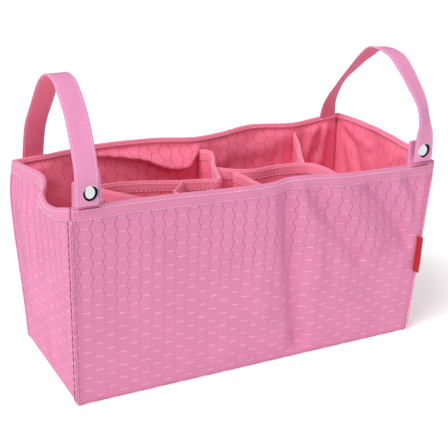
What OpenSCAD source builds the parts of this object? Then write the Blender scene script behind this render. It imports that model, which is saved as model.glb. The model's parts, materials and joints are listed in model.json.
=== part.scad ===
// Soft sewn organiser bag for baby things: four double-skinned walls on a stiff base,
// a hemmed mouth, a pocket strip with cross dividers inside, and a strap handle at each
// end whose front end closes on a tab with a snap fastener.
// Origin: centre of the base's underside. +X along the length, +Y to the back, +Z up.

/* [Bag] */
// Length of the mouth, along X
mouth_l = 320; // [300:1:340]
// Depth of the mouth, along Y
mouth_d = 144; // [136:1:156]
// Length of the base
base_l = 312; // [296:1:330]
// Depth of the base
base_d = 127; // [120:1:140]
// Height of the walls, without the hem's top fold
wall_h = 164; // [156:1:176]

/* [Cloth layers] */
// Thickness of the outer cloth and of the lining
cloth_t = 0.5; // [0.4:0.1:0.7]
// Thickness of the stiff interlining between them
stiff_t = 1.0; // [1.0:0.1:1.5]
// Thickness of the board in the base
board_t = 2.0; // [1.5:0.5:3]
// Thickness of the hem tape
hem_t = 0.4; // [0.3:0.1:0.5]
// Height of the hem tape on the walls
hem_h = 10; // [8:1:14]

/* [Dividers] */
// Height of the dividers' top edges
divider_top = 148; // [130:1:150]
// Thickness of a divider, which is two cloths
divider_t = 0.8; // [0.6:0.1:1]
// Height of the hem tape on a divider
divider_hem_h = 9; // [7:1:12]

/* [Handles] */
// Width of a strap
strap_w = 19; // [16:1:22]
// Thickness of a strap
strap_t = 1.0; // [0.9:0.1:1]
// Distance of a strap's middle from the bag's end, at the mouth
strap_in = 13.5; // [12.5:0.5:16]
// Height of the left snap's middle above the walls
left_snap_up = 14; // [10.5:0.5:15]
// Height of the right snap's middle above the walls
right_snap_up = 10.5; // [10.5:0.5:15]
// Height of the strap's crease above the walls
crease_up = 32; // [30:1:36]
// Width of a tab
tab_w = 22; // [20:1:24]
// Height of a tab above the walls
tab_up = 21; // [20:1:22]

/* [Snap fasteners] */
// Diameter of the cap
cap_d = 12.5; // [11:0.5:13]
// Rise of the cap's dome
cap_rise = 2.6; // [2:0.1:3]
// Diameter of the socket and of the stud's flange
snap_d = 10.2; // [9:0.2:10.4]
// Thickness of the socket
socket_t = 3.4; // [3.2:0.1:3.8]
// Diameter of the stud's bulb
bulb_d = 3.8; // [3.6:0.1:3.9]

/* [Side label] */
// Height of the label along the seam
label_h = 34; // [26:1:40]
// How far the label stands out of the seam
label_out = 6; // [5:0.5:10]

/* [Hidden] */
$fn = 48;

cloth_pink = [0.90, 0.50, 0.66];
lining_pink = [0.86, 0.42, 0.54];
hem_pink = [0.93, 0.58, 0.72];
stiffener_white = [0.93, 0.92, 0.90];
snap_steel = [0.78, 0.78, 0.80];
label_red = [0.80, 0.08, 0.08];

skin = cloth_t + stiff_t + cloth_t; // one wall, without its hem tape
floor_z = cloth_t + board_t + cloth_t; // top of the base lining
lean = atan((mouth_d - base_d) / 2 / wall_h); // how far the front and back walls lean out

// Half the bag's length and depth at height z
function half_l(z) = (base_l + (mouth_l - base_l) * z / wall_h) / 2;
function half_d(z) = (base_d + (mouth_d - base_d) * z / wall_h) / 2;

// A front-wall layer at height z, between two distances in from the outer face
function front_layer(z, outer, inner, ends) =
    [-half_l(z) + ends, half_l(z) - ends, -half_d(z) + outer, -half_d(z) + inner];
// A left-end layer at height z
function left_layer(z, outer, inner, ends) =
    [-half_l(z) + outer, -half_l(z) + inner, -half_d(z) + ends, half_d(z) - ends];

// The solid between a rectangle [x0, x1, y0, y1] at z0 and another at z1
module frustum(low, high, z0, z1) {
    polyhedron(
        points = [[low[0], low[2], z0], [low[1], low[2], z0], [low[1], low[3], z0], [low[0], low[3], z0],
                  [high[0], high[2], z1], [high[1], high[2], z1], [high[1], high[3], z1], [high[0], high[3], z1]],
        faces = [[0, 1, 2, 3], [4, 5, 1, 0], [7, 6, 5, 4], [5, 6, 2, 1], [6, 7, 3, 2], [7, 4, 0, 3]]);
}

module front_slab(outer, inner, ends, z0, z1) {
    frustum(front_layer(z0, outer, inner, ends), front_layer(z1, outer, inner, ends), z0, z1);
}

module left_slab(outer, inner, ends, z0, z1) {
    frustum(left_layer(z0, outer, inner, ends), left_layer(z1, outer, inner, ends), z0, z1);
}

// A level slab that fills the bag's plan, a distance in from the outer faces
module plan_slab(inset, z0, z1) {
    front = front_layer(z0, inset, inset, inset);
    front_top = front_layer(z1, inset, inset, inset);
    frustum([front[0], front[1], front[2], -front[2]],
            [front_top[0], front_top[1], front_top[2], -front_top[2]], z0, z1);
}

// ---- walls ----------------------------------------------------------------

module front_panel() { color(cloth_pink) front_slab(0, cloth_t, 0, 0, wall_h); }
module left_end_panel() { color(cloth_pink) left_slab(0, cloth_t, cloth_t, 0, wall_h); }
module base_panel() { color(cloth_pink) plan_slab(cloth_t, 0, cloth_t); }

// The interlining stops under the hem, so the strap and tab roots fit between the cloths there
module front_interlining() {
    color(stiffener_white) front_slab(cloth_t, cloth_t + stiff_t, cloth_t, cloth_t, wall_h - hem_h);
}
module left_end_interlining() {
    color(stiffener_white)
        left_slab(cloth_t, cloth_t + stiff_t, cloth_t + stiff_t, cloth_t, wall_h - hem_h);
}
module base_board() { color(stiffener_white) plan_slab(cloth_t + stiff_t, cloth_t, cloth_t + board_t); }

module front_lining() {
    color(lining_pink) front_slab(skin - cloth_t, skin, skin - cloth_t, cloth_t + board_t, wall_h);
}
module left_end_lining() {
    color(lining_pink) left_slab(skin - cloth_t, skin, skin, cloth_t + board_t, wall_h);
}
module base_lining() { color(lining_pink) plan_slab(skin, cloth_t + board_t, floor_z); }

// Slot in a hem's top fold, where a strap or tab of width w comes out, at the left
module root_slot(w) {
    translate([-mouth_l / 2 + strap_in - w / 2 - 0.2, -mouth_d / 2 + cloth_t - 0.1, wall_h - 1])
        cube([w + 0.4, stiff_t + 0.2, hem_t + 2]);
}

// Tape folded over the top edge of the front wall
module front_hem() {
    color(hem_pink) difference() {
        front_slab(-hem_t, skin + hem_t, 0, wall_h - hem_h, wall_h + hem_t);
        front_slab(0, skin, -1, wall_h - hem_h - 1, wall_h);
        root_slot(tab_w);
        mirror([1, 0, 0]) root_slot(tab_w);
    }
}

module back_hem() {
    color(hem_pink) mirror([0, 1, 0]) difference() {
        front_slab(-hem_t, skin + hem_t, 0, wall_h - hem_h, wall_h + hem_t);
        front_slab(0, skin, -1, wall_h - hem_h - 1, wall_h);
        root_slot(strap_w);
        mirror([1, 0, 0]) root_slot(strap_w);
    }
}

module left_end_hem() {
    color(hem_pink) difference() {
        left_slab(-hem_t, skin + hem_t, skin + hem_t, wall_h - hem_h, wall_h + hem_t);
        left_slab(0, skin, -1, wall_h - hem_h - 1, wall_h);
    }
}

// Edge-stitched ridge of the front-left corner seam
module corner_seam() {
    ridge_r = 0.55;
    reach = [0.45, 1.7];
    bottom = [-half_l(1), -half_d(1), 1];
    top_z = wall_h - hem_h - 1;
    top = [-half_l(top_z), -half_d(top_z), top_z];
    color(hem_pink) hull() {
        for (end = [bottom, top], out = reach) {
            translate(end + [-out, -out, 0]) cylinder(r = ridge_r, h = 0.1, $fn = 16);
        }
    }
}

// ---- dividers -------------------------------------------------------------

// Plans of the dividers, from the pocket strip or the back wall to the front wall
front_y = -mouth_d / 2; // beyond the inner face, and trimmed to it
strip_plan = [[-74, front_y], [-78, -30], [-98, 8], [-10, -5], [10, 4], [70, 3], [86, -24], [97, front_y]];
pocket_left_plan = [[-38, -1], [-50, -24], [-40, front_y]];
pocket_right_plan = [[11, 4], [14, -36], [15, front_y]];
rear_left_plan = [[-10, -5], [12, 52], [10, -front_y]];
rear_right_plan = [[74, -4], [90, 33], [111, -front_y]];

function unit(v) = v / norm(v);
function side(v) = [-v.y, v.x];
// Sideways step at point i of a path, lengthened so that a band keeps its width at a corner
function miter(path, i) =
    let (last = len(path) - 1,
         before = side(unit(path[max(i, 1)] - path[max(i, 1) - 1])),
         after = side(unit(path[min(i + 1, last)] - path[min(i + 1, last) - 1])),
         middle = unit(before + after))
    middle / (middle * before);
// Outline of a band of width t along a path
function band(path, t) = concat(
    [for (i = [0:len(path) - 1]) path[i] + miter(path, i) * t / 2],
    [for (i = [len(path) - 1:-1:0]) path[i] - miter(path, i) * t / 2]);

module upright_band(path, t, z0, z1) {
    translate([0, 0, z0]) linear_extrude(z1 - z0) polygon(band(path, t));
}

// What fits inside the linings
module inside() { plan_slab(skin, floor_z, wall_h); }

module divider(path, clear_of_strip) {
    color(lining_pink) difference() {
        intersection() {
            upright_band(path, divider_t, floor_z, divider_top - hem_t);
            inside();
        }
        if (clear_of_strip)
            upright_band(strip_plan, divider_t + 2 * hem_t + 0.1, floor_z - 1, divider_top + 1);
    }
}

module divider_hem(path, clear_of_strip) {
    z0 = divider_top - divider_hem_h;
    color(hem_pink) difference() {
        intersection() {
            upright_band(path, divider_t + 2 * hem_t, z0, divider_top);
            inside();
        }
        upright_band(path, divider_t, z0 - 1, divider_top - hem_t);
        if (clear_of_strip)
            upright_band(strip_plan, divider_t + 2 * hem_t + 0.1, z0 - 1, divider_top + 1);
    }
}

// ---- handles --------------------------------------------------------------

snap_x = -mouth_l / 2 + strap_in; // the left handle's middle
crease_z = wall_h + crease_up;
tab_y = -mouth_d / 2 + cloth_t; // front face of a tab
flange_t = 0.6;
seat_gap = 0.2; // between the closed socket and the stud's flange
strap_y = tab_y - flange_t - seat_gap - socket_t; // inner face of a closed strap end
back_y = mouth_d / 2 - cloth_t - strap_t / 2; // middle of a strap's root in the back hem
crease_gap = 0.3; // between the bending end and the rest of the strap
root_ease = 0.05; // between a root and the cloths on each side of it
root_gap = 0.6; // between a strap's root and the half round that its back leg ends in

function bezier(p, t) =
    pow(1 - t, 3) * p[0] + 3 * pow(1 - t, 2) * t * p[1] + 3 * (1 - t) * t * t * p[2] + t * t * t * p[3];
function curve(p, n) = [for (i = [0:n]) bezier(p, i / n)];

crease = [strap_y - strap_t / 2, crease_z + strap_t / 2 + crease_gap];
// Each arch is two curves in Y and Z that meet level at the top: up the back leg from the
// swing's axis, and down the front leg to the crease
left_arch = concat(
    curve([[back_y, wall_h + left_snap_up], [54, wall_h + 30], [16, wall_h + 86], [-8, wall_h + 86]], 12),
    curve([[-11, wall_h + 86], [-26, wall_h + 86], [crease.x, wall_h + 60], crease], 12));
right_arch = concat(
    curve([[back_y, wall_h + right_snap_up], [70, wall_h + 40], [36, wall_h + 82], [-6, wall_h + 82]], 12),
    curve([[-9, wall_h + 82], [-42, wall_h + 82], [crease.x, wall_h + 64], crease], 12));

// A strap over the bag's end, from the half-round end of its back leg to the crease
module strap(arch, snap_up) {
    color(cloth_pink) union() {
        translate([snap_x - strap_w / 2, 0, 0]) rotate([90, 0, 90])
            linear_extrude(strap_w) polygon(band(arch, strap_t));
        translate([snap_x, back_y, wall_h + snap_up]) rotate([90, 0, 0])
            cylinder(d = strap_w, h = strap_t, center = true);
    }
}

// The strap's front end: it bends forward at the crease, and the snap goes through it
module strap_end(snap_up) {
    bottom_z = wall_h + snap_up - strap_w / 2;
    color(cloth_pink) difference() {
        union() {
            translate([snap_x - strap_w / 2, strap_y - strap_t, bottom_z])
                cube([strap_w, strap_t, crease_z - bottom_z]);
            translate([snap_x, strap_y - strap_t / 2, crease_z]) rotate([0, 90, 0])
                cylinder(d = strap_t, h = strap_w, center = true);
        }
        on_snap_axis(snap_up, strap_y - strap_t - 1) cylinder(d = 3, h = strap_t + 2);
    }
}

// A strip of width w that leans with the front wall inside its hem and stands straight above it
module rooted_strip(w, up) {
    translate([snap_x - w / 2, tab_y, wall_h]) union() {
        cube([w, strap_t, up]);
        rotate([lean, 0, 0]) translate([0, root_ease, 1 - hem_h])
            cube([w, strap_t - 2 * root_ease, hem_h - 1 + root_ease]);
    }
}

// The strap's end in the back hem, up to the half round
module strap_root(snap_up) {
    color(cloth_pink) to_back() rooted_strip(strap_w, snap_up - strap_w / 2 - root_gap);
}

// Tab that stands out of the front hem and carries the stud
module tab(snap_up) {
    color(cloth_pink) difference() {
        rooted_strip(tab_w, tab_up);
        on_snap_axis(snap_up, tab_y - 1) cylinder(d = 3, h = strap_t + 2);
    }
}

// ---- snap fasteners -------------------------------------------------------

// Puts a shape that points along +Z on the snap's axis, pointing to the back from y
module on_snap_axis(snap_up, y) {
    translate([snap_x, y, wall_h + snap_up]) rotate([-90, 0, 0]) children();
}

// Domed cap on the strap's outer face, with the post that holds the socket
module snap_cap(snap_up) {
    dome_r = (pow(cap_d / 2, 2) + pow(cap_rise, 2)) / (2 * cap_rise);
    color(snap_steel) on_snap_axis(snap_up, strap_y - strap_t) union() {
        rotate([180, 0, 0]) intersection() {
            translate([0, 0, cap_rise - dome_r]) sphere(r = dome_r);
            cylinder(d = cap_d + 1, h = cap_rise + 1);
        }
        cylinder(d = 2.9, h = strap_t + 0.5);
    }
}

// Socket on the strap's inner face: a cup with a rolled rim, open towards the tab
module snap_socket(snap_up) {
    bore_r = 2.4;
    waist_r = snap_d / 2 - 1.4;
    color(snap_steel) on_snap_axis(snap_up, strap_y) rotate_extrude()
        polygon([[1.5, 0], [snap_d / 2, 0], [snap_d / 2, 0.8], [waist_r, 1.3],
                 [waist_r, socket_t], [bore_r, socket_t], [bore_r, 0.6], [1.5, 0.6]]);
}

// Stud on the tab's front face: a flange with a bulb that goes into the socket
module snap_stud(snap_up) {
    bulb_r = bulb_d / 2;
    neck_r = bulb_r - 0.3;
    color(snap_steel) on_snap_axis(snap_up, tab_y) rotate([180, 0, 0]) rotate_extrude()
        polygon([[1.5, 0], [snap_d / 2, 0], [snap_d / 2, flange_t], [neck_r, flange_t],
                 [neck_r, 1.4], [bulb_r, 2.0], [bulb_r, 2.6], [bulb_r - 0.6, 3.1], [1.0, 3.1], [1.0, 0.2],
                 [1.5, 0.2]]);
}

// Ring on the tab's back face, with the tube that holds the stud
module snap_ring(snap_up) {
    color(snap_steel) on_snap_axis(snap_up, tab_y + strap_t) rotate_extrude()
        polygon([[0.9, -strap_t - 0.1], [1.45, -strap_t - 0.1], [1.45, 0], [4.4, 0], [4.8, 0.4], [4.4, 0.8],
                 [0.9, 0.8]]);
}

// ---- label ----------------------------------------------------------------

label_z = 60; // bottom of the label
label_in = 2.5; // from the corner along the front wall
label_t = 0.6;
label_turn = 14; // towards the right, from straight out

// Folded ribbon in the front-right corner seam; its root is a round on the flap's axis
module side_label() {
    color(label_red)
        translate([half_l(label_z) - label_in, -half_d(label_z) - 0.8, label_z])
            rotate([lean, 0, 0]) rotate([0, 0, label_turn]) union() {
                cylinder(d = label_t, h = label_h);
                translate([-label_t / 2, -label_out, 0]) cube([label_t, label_out, label_h]);
            }
}

module to_back() { mirror([0, 1, 0]) children(); }
module to_right() { mirror([1, 0, 0]) children(); }

front_panel();
to_back() front_panel();  // back_panel
left_end_panel();
to_right() left_end_panel();  // right_end_panel
base_panel();
front_interlining();
to_back() front_interlining();  // back_interlining
left_end_interlining();
to_right() left_end_interlining();  // right_end_interlining
base_board();
front_lining();
to_back() front_lining();  // back_lining
left_end_lining();
to_right() left_end_lining();  // right_end_lining
base_lining();
front_hem();
back_hem();
left_end_hem();
to_right() left_end_hem();  // right_end_hem
corner_seam();  // front_left_seam
to_right() corner_seam();  // front_right_seam
to_back() corner_seam();  // back_left_seam
to_back() to_right() corner_seam();  // back_right_seam
divider(strip_plan, false);  // pocket_strip
divider_hem(strip_plan, false);  // pocket_strip_hem
divider(pocket_left_plan, true);  // pocket_divider_left
divider_hem(pocket_left_plan, true);  // pocket_divider_left_hem
divider(pocket_right_plan, true);  // pocket_divider_right
divider_hem(pocket_right_plan, true);  // pocket_divider_right_hem
divider(rear_left_plan, true);  // rear_divider_left
divider_hem(rear_left_plan, true);  // rear_divider_left_hem
divider(rear_right_plan, true);  // rear_divider_right
divider_hem(rear_right_plan, true);  // rear_divider_right_hem
strap(left_arch, left_snap_up);  // left_strap
strap_end(left_snap_up);  // left_strap_end
strap_root(left_snap_up);  // left_strap_root
tab(left_snap_up);  // left_tab
snap_cap(left_snap_up);  // left_snap_cap
snap_socket(left_snap_up);  // left_snap_socket
snap_stud(left_snap_up);  // left_snap_stud
snap_ring(left_snap_up);  // left_snap_ring
to_right() strap(right_arch, right_snap_up);  // right_strap
to_right() strap_end(right_snap_up);  // right_strap_end
to_right() strap_root(right_snap_up);  // right_strap_root
to_right() tab(right_snap_up);  // right_tab
to_right() snap_cap(right_snap_up);  // right_snap_cap
to_right() snap_socket(right_snap_up);  // right_snap_socket
to_right() snap_stud(right_snap_up);  // right_snap_stud
to_right() snap_ring(right_snap_up);  // right_snap_ring
side_label();
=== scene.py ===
"""Soft pink organiser caddy: sewn walls, dividers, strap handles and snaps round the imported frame."""

import json
import math
from bisect import bisect_right

import bpy
from mathutils import Matrix, Vector, noise


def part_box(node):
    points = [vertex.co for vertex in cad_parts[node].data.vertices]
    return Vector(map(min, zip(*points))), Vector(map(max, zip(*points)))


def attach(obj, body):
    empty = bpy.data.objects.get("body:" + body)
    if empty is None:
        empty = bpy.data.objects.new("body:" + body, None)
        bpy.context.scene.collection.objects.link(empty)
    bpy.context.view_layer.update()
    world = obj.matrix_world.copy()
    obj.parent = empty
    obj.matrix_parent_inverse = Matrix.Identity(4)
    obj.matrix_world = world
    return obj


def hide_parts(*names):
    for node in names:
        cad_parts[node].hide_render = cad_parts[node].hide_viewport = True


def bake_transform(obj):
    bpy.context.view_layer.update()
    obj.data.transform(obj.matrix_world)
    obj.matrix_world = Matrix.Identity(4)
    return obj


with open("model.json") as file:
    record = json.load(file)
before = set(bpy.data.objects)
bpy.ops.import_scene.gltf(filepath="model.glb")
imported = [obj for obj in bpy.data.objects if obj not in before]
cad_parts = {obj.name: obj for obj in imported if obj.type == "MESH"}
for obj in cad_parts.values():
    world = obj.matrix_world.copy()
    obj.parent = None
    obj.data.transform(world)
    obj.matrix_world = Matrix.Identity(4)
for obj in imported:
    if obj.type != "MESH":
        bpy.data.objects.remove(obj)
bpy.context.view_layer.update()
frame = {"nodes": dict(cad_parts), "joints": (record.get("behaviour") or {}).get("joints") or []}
MM = 0.001

# ---- sizes, from the frame, in millimetres ----


def node_box(node):
    """Lowest and highest corners of a CAD node, in millimetres."""
    low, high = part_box(node)
    return Vector(low) / MM, Vector(high) / MM


front_low, front_high = node_box("front_panel")
base_high = node_box("base_panel")[1]
CLOTH = base_high.z  # one cloth's thickness
HALF_L, HALF_D, WALL_H = front_high.x, -front_low.y, front_high.z
BASE_L, BASE_D = base_high.x + CLOTH, base_high.y + CLOTH
SKIN = 2.0  # a whole wall: cloth, interlining, cloth
HEM_H = 10.0
HEM_INSIDE = 4.5  # how far the mouth's tape comes down on the lining
TAPE = 0.4
FLOOR_Z = node_box("base_lining")[1].z
DIVIDER_TOP = node_box("pocket_strip_hem")[1].z
DIVIDER_HEM = 9.0
DIVIDER_SKIN = 0.8
STRAP_W = 18.2
GRID = 2.2  # spacing of the cloth's vertices

# ---- curves and folds ----


def smooth(x):
    """Eased step: 0 up to x = 0, and 1 from x = 1."""
    x = min(max(x, 0.0), 1.0)
    return x * x * (3 - 2 * x)


def through(points, u):
    """The values at u of a smooth curve through rows of (position, value, value, ...)."""
    at = [p[0] for p in points]
    u = min(max(u, at[0]), at[-1])
    i = max(0, min(bisect_right(at, u) - 1, len(at) - 2))

    def slope(j):
        a, b = max(j - 1, 0), min(j + 1, len(at) - 1)
        return [(q - p) / (at[b] - at[a]) for p, q in zip(points[a][1:], points[b][1:])]

    h = at[i + 1] - at[i]
    t = (u - at[i]) / h
    from_start, from_end = (1 + 2 * t) * (1 - t) ** 2, t * t * (3 - 2 * t)
    lean_start, lean_end = h * t * (1 - t) ** 2, h * t * t * (t - 1)
    rows = zip(points[i][1:], points[i + 1][1:], slope(i), slope(i + 1))
    return [p * from_start + q * from_end + m * lean_start + n * lean_end for p, q, m, n in rows]


def crease(line, a, z, width, height, lopsided=0.0):
    """Height at (a, z) of a fold that runs along a line of (a, z) points."""
    best, side = 1e9, 0.0
    for (a0, z0), (a1, z1) in zip(line, line[1:]):
        da, dz = a1 - a0, z1 - z0
        t = min(max(((a - a0) * da + (z - z0) * dz) / (da * da + dz * dz), 0), 1)
        away = math.hypot(a - a0 - t * da, z - z0 - t * dz)
        if away < best:
            best = away
            side = (da * (z - z0) - dz * (a - a0)) / math.hypot(da, dz)
    return height * math.exp(-(best / width) ** 2) * (1 + lopsided * side / width)


def fold_height(folds, along, z):
    """Height at (along, z) of all the folds, each given as (line, width, height, lopsidedness)."""
    return sum(crease(line, along, z, wide, high, lop) for line, wide, high, lop in folds)


def rumple(a, z, size, height, seed):
    """Gentle unevenness of slack cloth."""
    return height * noise.noise(Vector((a / size, z / size, seed)))


# ---- walls ----

# For each corner: its foot, its top, and how far it bows out of line, mostly at four fifths of its
# height. The mouth is slack, so the tops stand at different heights.
CORNERS = {
    "front_left": ((-BASE_L, -BASE_D, 0), (-HALF_L, -HALF_D, WALL_H + 2.6), (0, 0, 0)),
    "front_right": ((BASE_L, -BASE_D, 0), (HALF_L + 2, -HALF_D, WALL_H - 2.4), (0, 0, 0)),
    "back_left": ((-BASE_L, BASE_D, 0), (-HALF_L, HALF_D - 4, WALL_H - 3), (-4.5, 1.5, 0)),
    "back_right": ((BASE_L, BASE_D, 0), (HALF_L - 1, HALF_D, WALL_H + 3.5), (0.5, 1, 0)),
}

# For each wall: its two corners, the way out, the mouth's waves as (place from 0 to 1, out, up),
# the folds as (line of (along, up) points, width, height, lopsidedness), and how deep they all are
WALLS = {
    "front": {
        "corners": ("front_left", "front_right"),
        "out": Vector((0, -1, 0)), "depth": 1.7,
        "rim": [(0, 0, 0), (0.2, 0, 0.5), (0.49, 0.6, -0.8), (0.59, -0.5, 1.4), (0.73, 0.5, -0.7),
                (0.9, 0, -1.2), (1, 0, 0)],
        "folds": [
            ([(16, 158), (21, 120), (31, 60), (40, 4)], 9, -3.2, 1.0),
            ([(-6, 150), (-2, 100), (6, 50)], 12, 1.2, 0),
            ([(38, 154), (48, 118), (56, 70)], 10, 1.6, 0),
            ([(42, 156), (62, 132), (84, 104), (100, 84)], 8, -2.6, -0.8),
            ([(66, 152), (92, 122), (112, 96)], 13, 2.2, 0),
            ([(100, 154), (118, 136), (138, 110), (150, 92)], 8, -2.7, -0.8),
            ([(126, 152), (142, 130), (150, 104)], 7, 1.7, 0),
            ([(134, 156), (150, 134), (156, 108)], 6.5, -1.5, 0),
            ([(-150, 150), (-130, 138), (-104, 134)], 9, 1.0, 0.5),
            ([(-60, 12), (-20, 20), (20, 10)], 12, 0.9, 0),
        ],
    },
    "back": {
        "corners": ("back_left", "back_right"),
        "out": Vector((0, 1, 0)), "depth": 1.2,
        "rim": [(0, 0, 0), (0.1, 1, 0.5), (0.23, 2, 2.5), (0.4, 1, 0.9), (0.52, -2, -2.6), (0.6, -1, -2),
                (0.7, 1, 0.4), (0.84, -2, -2.6), (0.93, 0, -1.2), (1, 0, 0)],
        "folds": [([(-100, 150), (-90, 80), (-94, 20)], 20, 2, 0), ([(60, 150), (70, 60)], 22, 2, 0)],
    },
    "left_end": {
        "corners": ("back_left", "front_left"),
        "out": Vector((-1, 0, 0)), "depth": 1.3,
        "rim": [(0, 0, 0), (0.16, -2, 2), (0.34, -4, 2.6), (0.48, -4.5, 1.8), (0.56, -2, -0.6),
                (0.61, 2.5, -3.4), (0.7, 5, -7), (0.84, 4.5, -5.5), (0.94, 2, -2), (1, 0, 0)],
        "folds": [
            ([(-14, 160), (-16, 120), (-12, 70), (-16, 20)], 10, 2.4, 0.6),
            ([(-38, 152), (-42, 100), (-38, 50)], 9, -1.8, 0),
            ([(14, 160), (18, 110), (10, 60)], 12, -2.2, 0),
            ([(44, 158), (38, 100), (42, 40)], 13, 1.6, 0),
            ([(-54, 140), (-50, 90), (-56, 30)], 8, 1.2, 0),
        ],
    },
    "right_end": {
        "corners": ("front_right", "back_right"),
        "out": Vector((1, 0, 0)), "depth": 1.2,
        "rim": [(0, 0, 0), (0.2, 1.5, 2.2), (0.5, 2.5, 3.2), (0.8, 2, 2), (1, 0, 0)],
        "folds": [
            ([(66, 158), (40, 140), (24, 112)], 6, 2.4, 0.6),
            ([(68, 150), (54, 124), (46, 96)], 6, 2.2, 0.6),
            ([(10, 156), (8, 130), (16, 104)], 9, 2.4, 0.8),
            ([(-24, 156), (-20, 130), (-30, 100)], 11, -2.0, 0),
            ([(-44, 150), (-48, 100), (-42, 50)], 9, 1.4, 0),
        ],
    },
}
# Folds that only the linings have: (line, width, how far in, lopsidedness)
LINING_FOLDS = {
    "back": [
        ([(132, 162), (124, 140), (110, 118)], 6, 3.4, 0.7),
        ([(146, 162), (140, 138), (132, 112)], 5, 3.2, 0.7),
        ([(154, 150), (152, 120), (150, 90)], 5, 3.0, 0),
        ([(40, 142), (62, 136), (92, 144)], 12, 2.4, 0.5),
        ([(-140, 150), (-120, 132), (-112, 108)], 10, 3.0, 0.5),
        ([(-66, 155), (-40, 152), (-14, 155)], 2.6, -1.5, 0),
    ],
    "right_end": [([(60, 160), (52, 150), (20, 146)], 5, 1.6, 0)],
    "left_end": [([(20, 150), (10, 120), (14, 80)], 12, 2.0, 0)],
    "front": [([(-100, 130), (-60, 100)], 16, 1.5, 0)],
}
# The back lining hangs as a loose swag in the left bay: (along, height of its lip, how far it hangs in)
SWAG = [(-122, 160, 0.0), (-100, 157, 2.5), (-72, 152, 6.5), (-46, 147, 8.5), (-30, 140, 10.0),
        (-16, 137, 10.5), (-4, 139, 9.0), (4, 147, 6.0), (10, 156, 0.0)]
CORNER_STIFF = 6.0  # no folds this near a corner
HEM_FLARE = 0.7  # the hem stands this far out of the wall
FOOT_ROUND = 3.0  # radius of the wall's foot


def corner_pair(wall, row):
    """Feet (row 0), tops (row 1) or bows (row 2) of a wall's two corners."""
    a, b = WALLS[wall]["corners"]
    return Vector(CORNERS[a][row]), Vector(CORNERS[b][row])


def wall_length(wall):
    """Length of a wall's mouth, from corner to corner."""
    a, b = corner_pair(wall, 1)
    return (a - b).length


def swag(along, z):
    """How far the back lining's swag hangs in."""
    if not SWAG[0][0] < along < SWAG[-1][0]:
        return 0.0
    lip, deep = through(SWAG, along)
    above = z - lip
    rise = smooth((above + 1.8) / 3.6)
    fall = 1 - smooth(above / max(WALL_H - 4 - lip, 4))
    lip_roll = 0.12 * math.exp(-((above - 1.5) / 2.2) ** 2)
    return max(deep, 0) * (rise * fall + lip_roll)


def wall_point(wall, s, z, depth):
    """Point on a wall: s from 0 to 1 between its corners, z up, and depth in from its outer face."""
    data = WALLS[wall]
    t = z / WALL_H
    foot, top, bow = (a.lerp(b, s) for a, b in (corner_pair(wall, row) for row in range(3)))
    p = foot.lerp(top, t) + bow * (smooth(t / 0.8) * smooth((1.08 - t) / 0.28))
    wave_out, wave_up = through(data["rim"], s)
    grip = max(t, 0) ** 2.2  # the mouth's waves die away downwards
    along = p.x if abs(data["out"].y) > 0.5 else p.y
    seed = len(wall)
    # Folds die away at the corners and at the foot, and lie flatter under the hem
    slack = smooth((min(s, 1 - s) * wall_length(wall) - CORNER_STIFF) / 12) * smooth(z / 18)
    near_hem = 1 - 0.6 * smooth((z - WALL_H + 14) / 12)
    fold = data["depth"] * fold_height(data["folds"], along, z)
    fold += rumple(along, z, 34, 1.5, seed) + rumple(along, z, 12, 0.45, seed + 7)
    fold += rumple(along, z * 0.25, 7, 0.2, seed + 3) * smooth((z - 120) / 40)
    out = fold * slack * near_hem + wave_out * grip + HEM_FLARE * smooth((z - WALL_H + 12) / 5)
    if z < FOOT_ROUND:
        out -= 1.2 * (1 - math.sqrt(max(0.0, 1 - ((FOOT_ROUND - z) / FOOT_ROUND) ** 2)))
    inward = depth
    if depth > SKIN - CLOTH - 0.01 and z > FLOOR_Z:  # only the lining, and only above the floor
        own = fold_height(LINING_FOLDS[wall], along, z) + abs(rumple(along, z, 22, 2.2, seed + 11))
        if wall == "back":
            own += swag(along, z)
        inward += own * slack * (1 - smooth((z - WALL_H + 9) / 5))
    p += data["out"] * (out - inward)
    p.z += wave_up * grip
    return p


# ---- mesh makers ----


def place_object(name, data):
    """New object in the scene, from its mesh, light or camera data."""
    obj = bpy.data.objects.new(name, data)
    bpy.context.scene.collection.objects.link(obj)
    return obj


def new_object(name, points, faces, uvs=None, materials=(), slots=None):
    """Smooth-shaded mesh object from points in millimetres; slots gives each face's material."""
    mesh = bpy.data.meshes.new(name)
    mesh.from_pydata([tuple(p * MM) for p in points], [], faces)
    layer = mesh.uv_layers.new(name="UVMap")
    if uvs:
        for loop in mesh.loops:
            layer.data[loop.index].uv = uvs[loop.vertex_index]
    for material in materials:
        mesh.materials.append(material)
    for i, polygon in enumerate(mesh.polygons):
        polygon.use_smooth = True
        if slots:
            polygon.material_index = slots[i]
    mesh.validate()
    return place_object(name, mesh)


def skin_mesh(surface, nu, nv, size, uv_start=(0, 0)):
    """Closed sheet with two skins: surface(u, v, w) gives a point, for u and v from 0 to 1, w 0 or 1."""
    points, uvs, faces = [], [], []
    for w in (0, 1):
        for j in range(nv + 1):
            for i in range(nu + 1):
                u, v = i / nu, j / nv
                points.append(surface(u, v, w))
                uvs.append(((uv_start[0] + u * size[0]) * MM, (uv_start[1] + v * size[1]) * MM))
    row, skin = nu + 1, (nu + 1) * (nv + 1)
    for j in range(nv):
        for i in range(nu):
            a = j * row + i
            faces.append((a, a + 1, a + row + 1, a + row))
            faces.append((skin + a, skin + a + row, skin + a + row + 1, skin + a + 1))
    border = list(range(nu + 1)) + [j * row + nu for j in range(1, nv + 1)]
    border += [nv * row + i for i in range(nu - 1, -1, -1)] + [j * row for j in range(nv - 1, 0, -1)]
    for a, b in zip(border, border[1:] + border[:1]):
        faces.append((a, skin + a, skin + b, b))
    return points, uvs, faces


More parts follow.
